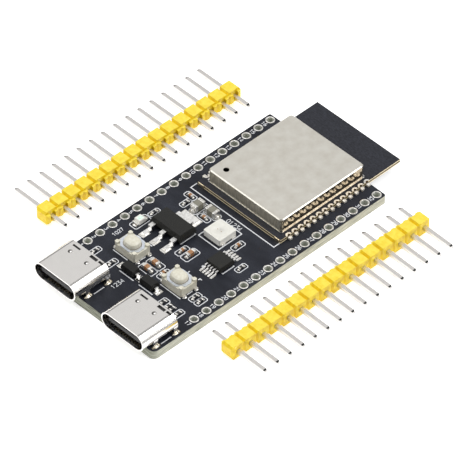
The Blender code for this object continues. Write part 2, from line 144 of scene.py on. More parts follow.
def maths(material, operation, *numbers):
    """A sum worked on one or two numbers or outputs."""
    return node(material, "Math", dict(enumerate(numbers)), operation=operation).outputs[0]


def axis_of(material, kind, axis):
    """One axis of a surface's place (Object, Generated) or of the way that it faces (Normal)."""
    vector = node(material, "TexCoord").outputs[kind]
    return node(material, "SeparateXYZ", {"Vector": vector}).outputs["XYZ".index(axis)]


def grain(material, size, stretch=(1, 1, 1), detail=3.0, low=0.35, high=0.65):
    """Cloudy grain with blotches of this size in millimetres, as a number from 0 to 1."""
    spot = node(material, "TexCoord").outputs["Object"]
    stretched = node(material, "Mapping", {"Vector": spot, "Scale": stretch}).outputs[0]
    cloud = node(material, "TexNoise", {"Vector": stretched, "Scale": 1 / (size * MM), "Detail": detail})
    limits = {"Value": cloud.outputs[0], "From Min": low, "From Max": high}
    return node(material, "MapRange", limits).outputs[0]


def mixed(material, share, first, second):
    """A colour between two others, each of them a colour or an output."""
    blend = node(material, "Mix", {"Factor": share}, data_type="RGBA")
    for key, value in ((6, first), (7, second)):
        if isinstance(value, bpy.types.NodeSocket):
            material.node_tree.links.new(value, blend.inputs[key])
        else:
            blend.inputs[key].default_value = (*value, 1)
    return blend.outputs[2]


def wire(material, bsdf, colour, roughness=None, bump=None, depth=0.01):
    """Joins a colour, a roughness and a bump height, in millimetres deep, to the main shader."""
    links = material.node_tree.links
    links.new(colour, bsdf.inputs["Base Color"])
    if roughness is not None:
        links.new(roughness, bsdf.inputs["Roughness"])
    if bump is not None:
        relief = node(material, "Bump", {"Height": bump, "Distance": depth * MM})
        links.new(relief.outputs[0], bsdf.inputs["Normal"])
    return material


def spread(material, share, low, high):
    """A number between two others, by a share from 0 to 1."""
    return node(material, "MapRange", {"Value": share, "To Min": low, "To Max": high}).outputs[0]


def dress(material, *names):
    """Gives CAD nodes a finish in place of their plain one."""
    for name in names:
        slots = nodes[name].data.materials
        slots.clear()
        slots.append(material)


def sides_only(material, level_from=0.5):
    """1 on upright and sloping faces, 0 on level ones."""
    level = maths(material, "ABSOLUTE", axis_of(material, "Normal", "Z"))
    return maths(material, "LESS_THAN", level, level_from)


BOARD_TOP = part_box("main_board")[1].z / MM
SKIN_DEEP = 0.1  # the dark band of mask and copper that shows along the top of a sawn edge
board_mask, board_bsdf = shader("board_mask", (0.012, 0.014, 0.022), 0.5, Specular_IOR_Level=0.22)
speckle = grain(board_mask, 0.12, detail=4.0)
drift = grain(board_mask, 2.5, stretch=(1, 0.4, 1))
coat = mixed(board_mask, speckle, (0.012, 0.014, 0.022), (0.03, 0.034, 0.046))
coat = mixed(board_mask, drift, coat, (0.0096, 0.0112, 0.0176))
fibre = grain(board_mask, 0.5, stretch=(0.2, 0.2, 4), detail=5.0)
sawn_side = mixed(board_mask, fibre, (0.3, 0.31, 0.25), (0.62, 0.61, 0.52))
# The edges that face along X take a darker copy of the laminate: painted shade.
sawn_end_painted_shade = mixed(board_mask, fibre, (0.1, 0.105, 0.075), (0.42, 0.43, 0.35))
skin = maths(board_mask, "GREATER_THAN", axis_of(board_mask, "Object", "Z"), (BOARD_TOP - SKIN_DEEP) * MM)
sawn_side = mixed(board_mask, skin, sawn_side, (0.07, 0.075, 0.07))
x_facing_painted_light = maths(board_mask, "ABSOLUTE", axis_of(board_mask, "Normal", "X"))
side = sides_only(board_mask)
surface = mixed(board_mask, side, coat, mixed(board_mask, x_facing_painted_light, sawn_side, sawn_end_painted_shade))
wire(board_mask, board_bsdf, surface, spread(board_mask, side, 0.5, 0.8), speckle, 0.006)
dress(board_mask, "main_board")

# ---------------------------------------------------------------- plated holes
# Thirty-two 1 mm holes on a 2.54 mm grid take the pins of the strips. Each is lined with copper,
# with a ring on both faces, and the whole is dipped in solder, so it is bright and soft-edged. The
# lining down the bore is painted a dull grey-green instead: painted shade inside the hole.
PITCH = 2.54
HOLES = 16
ROW_Y = 4.5 * PITCH
RING_R = 0.77
BORE_R = 0.52
BARREL_R = 0.48  # just inside the bore, so that the lining stands clear of the laminate


def lathe(bm, profile, centre, steps=24, paint=0):
    """A closed profile of (radius, height) points turned round an upright axis."""
    rings = []
    for step in range(steps):
        angle = 2 * math.pi * step / steps
        across = Vector((math.cos(angle), math.sin(angle), 0))
        middle = Vector((*centre, 0))
        rings.append([bm.verts.new((middle + across * r + Vector((0, 0, z))) * MM) for r, z in profile])
    for i, ring in enumerate(rings):
        following = rings[(i + 1) % steps]
        for j in range(len(profile)):
            k = (j + 1) % len(profile)
            face = bm.faces.new((ring[j], following[j], following[k], ring[k]))
            face.smooth = True
            face.material_index = paint


def finish_piece(name, bm, body, slot, *materials):
    """Makes the mesh into a piece that rides on a body and takes these materials; the slot is not used."""
    bmesh.ops.recalc_face_normals(bm, faces=bm.faces)
    mesh = bpy.data.meshes.new(name)
    bm.to_mesh(mesh)
    bm.free()
    for material in materials:
        mesh.materials.append(material)
    made = bpy.data.objects.new(name, mesh)
    bpy.context.scene.collection.objects.link(made)
    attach(made, body)
    return made


def solder_finish(name, dull, bright):
    """Tin that froze in clouds, bright and smooth in places and dull and rough in others."""
    material, bsdf = shader(name, bright, 0.3, metallic=1.0)
    cloud = grain(material, 0.25)
    colour = mixed(material, cloud, dull, bright)
    return wire(material, bsdf, colour, spread(material, cloud, 0.42, 0.24), cloud, 0.02)


def clouded(name, colour, roughness, blotch, first, second, metallic=0.0, low=0.35):
    """A finish that drifts between two colours in blotches of this size in millimetres."""
    material, bsdf = shader(name, colour, roughness, metallic)
    return wire(material, bsdf, mixed(material, grain(material, blotch, low=low), first, second))


solder = solder_finish("solder", (0.58, 0.56, 0.52), (0.9, 0.89, 0.86))
# The bore's lining is painted dull grey-green, darker than its solder: painted shade.
bore_lining_painted_shade = clouded("hole_barrel", (0.4, 0.42, 0.36), 0.6, 0.2, (0.25, 0.26, 0.22), (0.55, 0.57, 0.5))
hole_x = [(i - (HOLES - 1) / 2) * PITCH for i in range(HOLES)]
bm = bmesh.new()
for x in hole_x:
    for y in (ROW_Y, -ROW_Y):
        for face, out in ((0.0, -1), (BOARD_TOP, 1)):
            lathe(bm, (
                (BORE_R, face - 0.03 * out), (RING_R, face - 0.01 * out), (RING_R, face + 0.02 * out),
                (RING_R - 0.05, face + 0.04 * out), (BORE_R + 0.05, face + 0.045 * out),
                (BORE_R, face + 0.01 * out),
            ), (x, y))
        lathe(bm, (
            (BARREL_R, 0.02), (BORE_R, -0.005), (BORE_R, BOARD_TOP + 0.005), (BARREL_R, BOARD_TOP - 0.06),
        ), (x, y), paint=1)
finish_piece("plated_holes", bm, "board", "pin_tin", solder, bore_lining_painted_shade)

# ---------------------------------------------------------------- the printed legend
# White epoxy ink, screened on the mask: a frame round each small part, a line by each larger one
# and plain pin numbers between the holes.
INK_WIDE = 0.13
DIGIT_WIDE = 0.1
LINE_WIDE = 0.17
INK_THICK = 0.02
NUMBER_TALL = 0.6
DOWN_THE_ROW = -math.pi / 2
DIGITS = {
    "0": ((0, 0.2), (0, 0.8), (0.2, 1), (0.4, 1), (0.6, 0.8), (0.6, 0.2), (0.4, 0), (0.2, 0), (0, 0.2)),
    "1": ((0.05, 0.75), (0.3, 1), (0.3, 0)),
    "2": ((0, 0.85), (0.2, 1), (0.45, 1), (0.6, 0.8), (0.6, 0.6), (0, 0), (0.6, 0)),
    "3": ((0, 1), (0.6, 1), (0.25, 0.6), (0.45, 0.6), (0.6, 0.4), (0.6, 0.2), (0.4, 0), (0, 0.05)),
    "4": ((0.45, 0), (0.45, 1), (0, 0.3), (0.6, 0.3)),
    "5": ((0.55, 1), (0.05, 1), (0, 0.55), (0.4, 0.6), (0.6, 0.4), (0.6, 0.2), (0.4, 0), (0, 0.05)),
    "6": ((0.5, 1), (0.2, 0.9), (0, 0.6), (0, 0.2), (0.2, 0), (0.4, 0), (0.6, 0.2), (0.6, 0.4),
          (0.4, 0.55), (0, 0.45)),
    "7": ((0, 1), (0.6, 1), (0.2, 0)),
    "8": ((0.3, 0.53), (0.05, 0.7), (0.05, 0.85), (0.2, 1), (0.4, 1), (0.55, 0.85), (0.55, 0.7), (0.3, 0.53),
          (0, 0.35), (0, 0.15), (0.2, 0), (0.4, 0), (0.6, 0.15), (0.6, 0.35), (0.3, 0.53)),
    "9": ((0.1, 0), (0.4, 0.1), (0.6, 0.4), (0.6, 0.8), (0.4, 1), (0.2, 1), (0, 0.8), (0, 0.6),
          (0.2, 0.45), (0.6, 0.55)),
}


def ribbon(bm, points, wide=INK_WIDE, low=BOARD_TOP - 0.005, thick=INK_THICK):
    """A flat line through the points, its corners mitred."""
    spots = [Vector(p) for p in points]
    closed = (spots[0] - spots[-1]).length < 1e-6
    if closed:
        spots.pop()
    count = len(spots)
    stations = []
    for i, spot in enumerate(spots):
        before = spots[i - 1] if closed or i > 0 else None
        after = spots[(i + 1) % count] if closed or i < count - 1 else None
        ahead = (after - spot).normalized() if after is not None else (spot - before).normalized()
        behind = (spot - before).normalized() if before is not None else ahead
        side = ahead + behind
        side = Vector((-side.y, side.x)).normalized() if side.length > 1e-6 else Vector((-ahead.y, ahead.x))
        reach = wide / 2 / max(0.5, side.dot(Vector((-ahead.y, ahead.x))))
        left, right = spot + side * reach, spot - side * reach
        rim = [(left, low), (left, low + thick), (right, low + thick), (right, low)]
        stations.append([bm.verts.new(Vector((*flat, z)) * MM) for flat, z in rim])
    pairs = list(zip(stations, stations[1:]))
    if closed:
        pairs.append((stations[-1], stations[0]))
    for first, second in pairs:
        for j in range(4):
            k = (j + 1) % 4
            bm.faces.new((first[j], second[j], second[k], first[k]))
    if not closed:
        bm.faces.new(stations[0])
        bm.faces.new(stations[-1][::-1])


def frame_line(bm, x0, x1, y0, y1, corner=0.22, wide=INK_WIDE):
    """A printed frame with its corners cut off."""
    ribbon(bm, (
        (x0 + corner, y0), (x1 - corner, y0), (x1, y0 + corner), (x1, y1 - corner),
        (x1 - corner, y1), (x0 + corner, y1), (x0, y1 - corner), (x0, y0 + corner), (x0 + corner, y0),
    ), wide)


def number(bm, text, centre, tall, turn=0.0):
    """Digits centred on a spot, read along +X, or turned from it by an angle."""
    advance = 0.85 * tall
    across = Matrix.Rotation(turn, 2)
    for i, digit in enumerate(text):
        start = (i - (len(text) - 1) / 2) * advance - 0.3 * tall
        strokes = [Vector((start + x * tall, (y - 0.5) * tall)) for x, y in DIGITS[digit]]
        ribbon(bm, [Vector(centre) + across @ spot for spot in strokes], DIGIT_WIDE)


PART_FRAMES = (  # round the power light, the chip capacitors and the chip resistors: x and y limits
    (-12.25, -8.97, 8.13, 9.73), (-8.78, -6.7, 8.5, 9.43), (-1.9, -0.8, 6.68, 8.8), (-3.9, -1.92, 6.6, 7.7),
    (-3.75, -0.8, 4.27, 5.77), (-3.7, -2.67, 1.77, 4.07), (-2.5, -1.0, 1.23, 4.0),
    (-17.58, -16.03, -0.65, 2.23), (-15.97, -14.4, -0.65, 2.23), (-16.95, -14.6, -2.1, -1.07),
    (-11.6, -9.2, -0.5, 0.63), (-11.6, -8.7, -2.15, -0.6), (-4.88, -2.53, -5.48, -4.37),
    (-7.67, -5.58, -9.15, -8.07), (-16.87, -14.75, -8.9, -7.77), (-16.87, -14.75, -10.03, -8.94),
    (-20.9, -18.67, 8.52, 9.6), (-20.9, -18.67, 4.93, 6.02), (-21.1, -19.0, -6.5, -5.2),
    (-21.1, -19.0, -9.65, -8.5),
)
PART_LINES = (
    ((-9.55, 1.55), (-9.55, 1.27), (-6.5, 1.27), (-6.5, 1.55)),  # by the regulator
    ((-9.45, -7.4), (-9.45, -7.6), (-7.13, -7.6), (-7.13, -7.4)),  # by the USB bridge
    ((-19.97, 0.5), (-19.97, 3.55)), ((-19.97, -3.57), (-19.97, -0.6)),  # by the diodes
    ((-17.62, 3.1), (-17.62, 7.43)), ((-17.62, -7.05), (-17.62, -2.75)),  # by the buttons
    ((-16.3, 2.95), (-15.2, 2.95)), ((-16.3, -7.1), (-15.2, -7.1)),
    ((-12.95, 6.3), (-12.95, 7.1)), ((-12.95, 3.9), (-12.95, 4.6)),
    ((-12.95, -3.8), (-12.6, -3.8)), ((-12.95, -6.0), (-12.6, -6.0), (-12.6, -6.4)),
    ((-26.1, 2.55), (-24.0, 2.55)), ((-26.1, -11.8), (-24.0, -11.8)),  # beside the ports
    ((1.3, 9.07), (-0.03, 9.07), (-0.03, -8.8), (2.6, -8.8)),  # round the radio module
)
DOT_SPOT = (-10.42, -4.45)  # by the first lead of the USB bridge
DOT_R = 0.27
ink = clouded("legend_ink", (0.82, 0.83, 0.84), 0.55, 0.2, (0.62, 0.64, 0.68), (0.86, 0.87, 0.88))
bm = bmesh.new()
for limits in PART_FRAMES:
    frame_line(bm, *limits)
frame_line(bm, -6.33, -1.5, -3.48, 0.85, corner=0.05, wide=0.18)
for line in PART_LINES:
    ribbon(bm, line, LINE_WIDE)
for i, x in enumerate(hole_x):
    number(bm, str(i + 1), (x - PITCH / 2, ROW_Y), NUMBER_TALL, DOWN_THE_ROW)
    number(bm, str(HOLES + i + 1), (x - PITCH / 2, -ROW_Y), NUMBER_TALL, DOWN_THE_ROW)
number(bm, "1027", (-14.5, 9.68), 0.62)
number(bm, "1234", (-22.1, 1.7), 0.72)
number(bm, "01234", (-0.98, -1.3), 0.72, DOWN_THE_ROW)
lathe(bm, (
    (0.001, BOARD_TOP), (DOT_R, BOARD_TOP), (DOT_R, BOARD_TOP + INK_THICK), (0.001, BOARD_TOP + INK_THICK),
), DOT_SPOT, 12)
finish_piece("printed_legend", bm, "board", "board_mask", ink)

# ---------------------------------------------------------------- the USB-C ports
# Each port is a drawn, nickel-plated steel shell round a black nylon block and tongue. Four legs
# go through slots in the board and are soldered, and two sprung dimples on top grip the plug.
PORT_Y = (7.25, -7.25)
LEG_X = (-27.0, -22.95)
LEG_Y = 4.32
DIMPLE_X = -24.64
DIMPLE_Y = 1.75
SHELL_TALL = 3.16
TONGUE_TIP = 0.66  # back from the mouth
TONGUE_WIDE = 3.38  # half of it
TONGUE_THICK = 0.38  # half of it
CONTACTS = 12  # on each face of the tongue
CONTACT_PITCH = 0.5


def block(bm, low, high, soft=0.0, paint=0, segments=2):
    """A box between two corners with its edges rounded."""
    known = set(bm.faces)
    low, high = Vector(low), Vector(high)
    centre, size = (low + high) / 2, high - low
    verts = bmesh.ops.create_cube(bm, size=1.0)["verts"]
    for vert in verts:
        vert.co = Vector(vert.co[i] * size[i] for i in range(3)) * MM
    if soft:
        edges = list(dict.fromkeys(edge for vert in verts for edge in vert.link_edges))
        bmesh.ops.bevel(bm, geom=edges, offset=soft * MM, segments=segments, profile=0.6, affect="EDGES")
    faces = [face for face in bm.faces if face not in known]
    fresh = list(dict.fromkeys(vert for face in faces for vert in face.verts))
    bmesh.ops.translate(bm, verts=fresh, vec=centre * MM)
    for face in faces:
        face.material_index = paint


def mound(bm, centre, reach, tall, paint=0, base=BOARD_TOP):
    """A low solder fillet, round or oval, highest in the middle."""
    steps = 14
    rings = []
    for share, lift in ((1.0, 0.0), (0.85, 0.28), (0.6, 0.62), (0.3, 0.9)):
        ring = []
        for i in range(steps):
            angle = math.tau * i / steps
            x = centre[0] + share * reach[0] * math.cos(angle)
            y = centre[1] + share * reach[1] * math.sin(angle)
            ring.append(bm.verts.new(Vector((x, y, base + lift * tall)) * MM))
        rings.append(ring)
    crown = bm.verts.new(Vector((*centre, base + tall)) * MM)
    for outer, inner in zip(rings, rings[1:]):
        for i in range(steps):
            j = (i + 1) % steps
            bm.faces.new((outer[i], outer[j], inner[j], inner[i]))
    for i in range(steps):
        bm.faces.new((rings[-1][i], rings[-1][(i + 1) % steps], crown))
    bm.faces.new(rings[0])
    for ring in rings:
        for vert in ring:
            for face in vert.link_faces:
                face.smooth = True
                face.material_index = paint


nickel, nickel_bsdf = shader("usb_nickel", (0.72, 0.71, 0.69), 0.3, metallic=1.0)
brush = grain(nickel, 1.5)
plating = mixed(nickel, brush, (0.79, 0.77, 0.745), (0.81, 0.79, 0.765))
wire(nickel, nickel_bsdf, plating, spread(nickel, brush, 0.2, 0.17))
black_nylon = clouded(
    "black_nylon", (0.008, 0.008, 0.009), 0.45, 0.2, (0.006, 0.006, 0.007), (0.014, 0.014, 0.016))
# The tongue's blue-grey steel plate carries near-white specks: painted highlights.
tongue_plate_painted_highlights = clouded(
    "tongue_plate", (0.3, 0.33, 0.4), 0.35, 0.2, (0.3, 0.33, 0.42), (0.97, 0.98, 1.0), metallic=0.9, low=0.45)
# Each dimple is a dark disc under an off-centre nickel mound; the dark crescent that shows is painted shade.
dimple_edge = clouded(
    "dimple_edge", (0.03, 0.027, 0.024), 0.5, 0.1, (0.02, 0.018, 0.016), (0.06, 0.055, 0.05))
leg_solder = solder_finish("leg_solder", (0.36, 0.3, 0.2), (0.95, 0.91, 0.8))
gold = clouded("gold_flash", (0.88, 0.74, 0.5), 0.3, 0.2, (0.8, 0.64, 0.38), (0.93, 0.84, 0.64), metallic=1.0)
for count, port_y in enumerate(PORT_Y, start=1):
    dress(nickel, f"usb_port_{count}_shell")
    dress(black_nylon, f"usb_port_{count}_insert")
    low, high = (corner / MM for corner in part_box(f"usb_port_{count}_shell"))
    middle = high.z - SHELL_TALL / 2
    bm = bmesh.new()
    tip = low.x + TONGUE_TIP
    near = (tip, port_y - TONGUE_WIDE, middle - TONGUE_THICK)
    block(bm, near, (tip + 0.5, port_y + TONGUE_WIDE, middle + TONGUE_THICK), 0.12)
    for i in range(CONTACTS):
        y = port_y + (i - (CONTACTS - 1) / 2) * CONTACT_PITCH
        for side in (1, -1):
            level = middle + side * 0.36
            block(bm, (tip + 0.55, y - 0.13, level - 0.03), (tip + 3.0, y + 0.13, level + 0.03), paint=1)
    finish_piece(f"usb_port_{count}_tongue_plate", bm, "board", "usb_plastic", tongue_plate_painted_highlights, gold)
    bm = bmesh.new()
    for side in (1, -1):
        spot = (DIMPLE_X, port_y + 0.16 + side * DIMPLE_Y)
        mound(bm, spot, (0.38, 0.36), 0.012, base=high.z)
        mound(bm, (spot[0] + 0.08, spot[1] - 0.1), (0.28, 0.25), 0.05, paint=1, base=high.z + 0.004)
    finish_piece(f"usb_port_{count}_dimples", bm, "board", "usb_nickel", dimple_edge, nickel)
    bm = bmesh.new()
    for leg_x in LEG_X:
        for side in (1, -1):
            mound(bm, (leg_x, port_y + side * (LEG_Y + 0.12)), (0.8, 0.4), 0.26)
            mound(bm, (leg_x + 0.35, port_y + side * (LEG_Y + 0.22)), (0.4, 0.3), 0.36)
    finish_piece(f"usb_port_{count}_solder", bm, "board", "pin_tin", leg_solder)

# ---------------------------------------------------------------- the two push buttons
# Surface-mount tact switches: an ivory nylon base with a corner post at each corner, a pressed
# steel cover plate, and an ivory plunger over a snap dome. Tinned feet stand out at both ends.
ivory, ivory_bsdf = shader("ivory_nylon", (0.68, 0.65, 0.54), 0.42)
clouding = grain(ivory, 0.4, detail=5.0)
moulded = mixed(ivory, clouding, (0.63, 0.6, 0.49), (0.71, 0.69, 0.59))
wire(ivory, ivory_bsdf, moulded, spread(ivory, clouding, 0.5, 0.35), grain(ivory, 0.08), 0.004)
cover_steel, cover_bsdf = shader("cover_plate", (0.72, 0.75, 0.8), 0.3, metallic=1.0)
rolled = grain(cover_steel, 0.2, stretch=(1, 0.3, 1))
sheet = mixed(cover_steel, rolled, (0.6, 0.64, 0.7), (0.82, 0.86, 0.92))
wire(cover_steel, cover_bsdf, sheet, spread(cover_steel, rolled, 0.4, 0.25), rolled, 0.004)
# The snap dome and the ring round the plunger are painted dark brown: painted shade in the gap under and
# round the plunger.
dome_steel = clouded(
    "snap_dome", (0.2, 0.15, 0.1), 0.4, 0.15, (0.14, 0.1, 0.07), (0.26, 0.2, 0.14), metallic=0.5)
FOOT_X = 1.2
GAP_X, GAP_Y, GAP_CORNER = 1.15, 1.35, 1.0  # the dark gap round the plunger: half sizes and corners
GAP_STEPS = 32
for count in (1, 2):
    dress(ivory, f"button_{count}_base", f"button_{count}_plunger")
    dress(cover_steel, f"button_{count}_cover")
    dome = f"button_{count}_dome"
    dress(dome_steel, dome)
    bm = bmesh.new()
    bm.from_mesh(nodes[dome].data)
    spring = finish_piece(f"button_{count}_snap_dome", bm, "board", "dome_steel", dome_steel)
    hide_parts(dome)
    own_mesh(spring)
    low, high = (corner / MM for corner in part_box(f"button_{count}_base"))
    centre = (low + high) / 2
    bm = bmesh.new()
    for across in (1, -1):
        for along in (1, -1):
            x, y = centre.x + across * FOOT_X, centre.y + along * (high.y - low.y) / 2
            block(bm, (x - 0.32, y - 0.42, BOARD_TOP), (x + 0.32, y + 0.42, BOARD_TOP + 0.28), 0.09)
            mound(bm, (x, y + along * 0.25), (0.42, 0.36), 0.2)
    finish_piece(f"button_{count}_feet", bm, "board", "button_steel", solder)
    cover_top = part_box(f"button_{count}_cover")[1].z / MM
    bm = bmesh.new()
    outline = []
    for step in range(GAP_STEPS):
        angle = math.tau * (step + 0.5) / GAP_STEPS
        across, along = math.cos(angle), math.sin(angle)
        outline.append(Vector((
            centre.x + GAP_CORNER * across + math.copysign(GAP_X - GAP_CORNER, across),
            centre.y + GAP_CORNER * along + math.copysign(GAP_Y - GAP_CORNER, along))))
    ribbon(bm, [*outline, outline[0]], 0.16, cover_top - 0.04, 0.045)
    finish_piece(f"button_{count}_gap_shade", bm, "board", "dome_steel", dome_steel)

# ---------------------------------------------------------------- moulded chips with metal leads
# The regulator, the USB bridge and the two diodes are black moulded epoxy round a stamped, tinned
# lead frame. The epoxy is matt with a faint fleck. Every lead ends in a bright solder fillet.


def leaded(name, axis, middle, reach, plastic=(0.006, 0.006, 0.006), fleck=(0.016, 0.016, 0.015)):
    """Black epoxy within reach of the middle along one axis, and tinned metal beyond it."""
    material, bsdf = shader(name, plastic, 0.5, Specular_IOR_Level=0.28)
    offset = maths(material, "SUBTRACT", axis_of(material, "Object", axis), middle * MM)
    metal = maths(material, "GREATER_THAN", maths(material, "ABSOLUTE", offset), (reach + 0.015) * MM)
    flecks = grain(material, 0.07, detail=4.0, low=0.4, high=0.7)
    sheen = grain(material, 0.3)
    epoxy = mixed(material, flecks, plastic, fleck)
    tin = mixed(material, sheen, (0.72, 0.71, 0.69), (0.92, 0.91, 0.89))
    material.node_tree.links.new(metal, bsdf.inputs["Metallic"])
    surface = mixed(material, metal, epoxy, tin)
    return wire(material, bsdf, surface, spread(material, metal, 0.55, 0.28), flecks, 0.008)


def pad(bm, centre, size):
    """A copper pad flooded with solder, its edge soft."""
    low = (centre[0] - size[0] / 2, centre[1] - size[1] / 2, BOARD_TOP - 0.01)
    block(bm, low, (centre[0] + size[0] / 2, centre[1] + size[1] / 2, BOARD_TOP + 0.07), 0.035)


REGULATOR = Vector((-8.2, 4.3))
REGULATOR_LEADS = (-2.3, 0.0, 2.3)
dress(leaded("regulator_body", "X", REGULATOR.x, 1.75, fleck=(0.03, 0.03, 0.026)), "voltage_regulator")
BRIDGE = Vector((-8.3, -5.9))
BRIDGE_PITCH = 0.56
bridge_body = leaded("bridge_body", "X", BRIDGE.x, 1.5, (0.01, 0.01, 0.009), (0.026, 0.026, 0.023))
dress(bridge_body, "usb_bridge_chip")
DIODES = (Vector((-19.0, 2.2)), Vector((-19.0, -1.85)))
for count, spot in enumerate(DIODES, start=1):
    dress(leaded(f"diode_{count}_body", "Y", spot.y, 1.35), f"diode_{count}")
bm = bmesh.new()
for y in REGULATOR_LEADS:
    pad(bm, REGULATOR + Vector((-3.8, y)), (1.5, 1.15))
pad(bm, REGULATOR + Vector((3.45, 0)), (1.7, 3.8))
for i in range(5):
    for side in (1, -1):
        pad(bm, BRIDGE + Vector((side * 2.7, (i - 2) * BRIDGE_PITCH)), (0.95, 0.34))
for spot in DIODES:
    for side in (1, -1):
        pad(bm, spot + Vector((0, side * 1.95)), (1.25, 0.85))
        mound(bm, spot + Vector((0, side * 1.95)), (0.45, 0.3), 0.2)
finish_piece("lead_solder", bm, "board", "pin_tin", solder)

# ---------------------------------------------------------------- the lights
# The colour light is a white moulded cup filled with milky resin, with two amber dice showing in
# it. The power light is a pale chip under a clear lens with a green tinge, tinned at both ends.
white_cup, cup_bsdf = shader("white_cup", (0.63, 0.62, 0.56), 0.4)
moulding = mixed(white_cup, grain(white_cup, 0.5), (0.7, 0.69, 0.63), (0.76, 0.75, 0.7))
# The cup's upright sides are painted whiter than its top: painted light.
wire(white_cup, cup_bsdf, mixed(white_cup, sides_only(white_cup), moulding, (0.95, 0.94, 0.89)))
resin = clouded("milky_resin", (0.64, 0.63, 0.57), 0.4, 0.9, (0.7, 0.69, 0.63), (0.76, 0.75, 0.7))
amber = clouded("amber_dice", (0.35, 0.22, 0.1), 0.4, 0.1, (0.25, 0.15, 0.07), (0.5, 0.34, 0.18))
dress(white_cup, "rgb_led", "power_led")
low, high = (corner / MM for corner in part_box("rgb_led"))
middle = (low + high) / 2
bm = bmesh.new()
top = high.z
lathe(bm, (
    (0.001, top - 0.11), (1.44, top - 0.11), (1.5, top + 0.002), (1.45, top + 0.008), (0.001, top + 0.008),
), middle.xy, 32)
for x, y in ((-0.1, 0.35), (-0.12, -0.42)):
    mound(bm, middle.xy + Vector((x, y)), (0.09, 0.08), 0.02, paint=1, base=top + 0.004)
finish_piece("rgb_led_resin", bm, "board", "led_white", resin, amber)
bm = bmesh.new()
for x in (middle.x - 1.05, middle.x + 1.05):
    for side in (1, -1):
        y = middle.y + side * 1.8
        block(bm, (x - 0.45, y - 0.2, BOARD_TOP), (x + 0.45, y + 0.2, BOARD_TOP + 0.22), 0.07)
finish_piece("rgb_led_feet", bm, "board", "pin_tin", solder)
low, high = (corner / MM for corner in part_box("power_led"))
middle = (low + high) / 2
lens = clouded("power_light_lens", (0.78, 0.86, 0.8), 0.15, 0.35, (0.55, 0.8, 0.66), (0.88, 0.9, 0.87))
bm = bmesh.new()
near = (middle.x - 0.52, middle.y - 0.42, high.z - 0.2)
block(bm, near, (middle.x + 0.52, middle.y + 0.42, high.z + 0.02), 0.1)
for side in (1, -1):
    x = middle.x + side * 0.86
    block(bm, (x - 0.14, low.y - 0.02, BOARD_TOP), (x + 0.14, high.y + 0.02, low.z + 0.38), 0.05, 1)
    mound(bm, (middle.x + side * 1.15, middle.y), (0.28, 0.5), 0.2, 1)
finish_piece("power_led_lens", bm, "board", "led_white", lens, solder)

# ---------------------------------------------------------------- capacitors and resistors
# Chip parts: a fired ceramic body, tan or brown in a capacitor and black on white in a resistor,
# with tinned caps over both ends and a solder fillet up each cap.
ceramic, ceramic_bsdf = shader("tan_ceramic", (0.2, 0.19, 0.15), 0.4)
fired = mixed(ceramic, grain(ceramic, 0.12), (0.15, 0.14, 0.11), (0.26, 0.25, 0.2))
wire(ceramic, ceramic_bsdf, fired, bump=grain(ceramic, 0.06), depth=0.005)
rust = clouded("rust_ceramic", (0.36, 0.17, 0.07), 0.38, 0.12, (0.24, 0.11, 0.045), (0.46, 0.23, 0.1))
film = clouded("resistor_film", (0.012, 0.012, 0.014), 0.35, 0.15, (0.008, 0.008, 0.01), (0.03, 0.03, 0.033))
dress(ceramic, "bulk_capacitor_1", "bulk_capacitor_2")
BODY_SHARE = 0.5  # the part of a chip's length that shows between its caps
CHIP_SIZES = {"small": (1.0, 0.5, 0.45), "middling": (1.6, 0.8, 0.7), "flat": (1.0, 0.5, 0.32)}


def turned_to(spot, turned):
    """The way to a spot on the board, by a quarter turn where the part lies across it."""
    turn = Matrix.Rotation(math.pi / 2 if turned else 0, 4, "Z")
    return Matrix.Translation(Vector((*spot, 0)) * MM) @ turn


def chip_part(name, spot, size, turned, body):
    """A chip part laid along X or turned to lie along Y, with a cap and a fillet at each end."""
    long, wide, tall = size
    bm = bmesh.new()
    base = BOARD_TOP + 0.02
    inner = BODY_SHARE * long / 2
    near = (-inner, -wide / 2 + 0.02, base)
    block(bm, near, (inner, wide / 2 - 0.02, base + tall - 0.02), 0.03, segments=1)
    for side in (1, -1):
        near, far = sorted((side * (inner - 0.03), side * long / 2))
        block(bm, (near, -wide / 2, base), (far, wide / 2, base + tall), 0.06, 1)
        mound(bm, (side * (long / 2 + 0.05), 0), (0.28 * wide + 0.12, 0.55 * wide), 0.55 * tall, 1)
    bmesh.ops.transform(bm, verts=bm.verts, matrix=turned_to(spot, turned))
    finish_piece(name, bm, "board", "capacitor_ceramic", body, solder)


CAPACITORS = (
    ("middling", (-16.8, 0.85), True), ("middling", (-15.2, 0.85), True), ("middling", (-10.1, -1.38), False),
    ("small", (-10.4, 0.06), False), ("small", (-15.75, -1.45), False), ("small", (-3.7, -4.92), False),
    ("small", (-1.35, 7.7), True), ("small", (-3.18, 2.9), True),
)
RESISTORS = (
    ((-7.75, 8.97), False), ((-2.9, 7.15), False), ((-6.62, -8.6), False), ((-15.8, -8.33), False),
    ((-15.8, -9.48), False), ((-19.75, 9.06), False), ((-19.75, 5.48), False), ((-20.0, -5.85), False),
    ((-20.0, -7.0), False), ((-20.0, -7.8), False), ((-20.0, -9.08), False),
)
for count, (size, spot, turned) in enumerate(CAPACITORS, start=1):
    chip_part(f"chip_capacitor_{count}", spot, CHIP_SIZES[size], turned, rust)
for count, (spot, turned) in enumerate(RESISTORS, start=1):
    chip_part(f"chip_resistor_{count}", spot, CHIP_SIZES["flat"], turned, film)
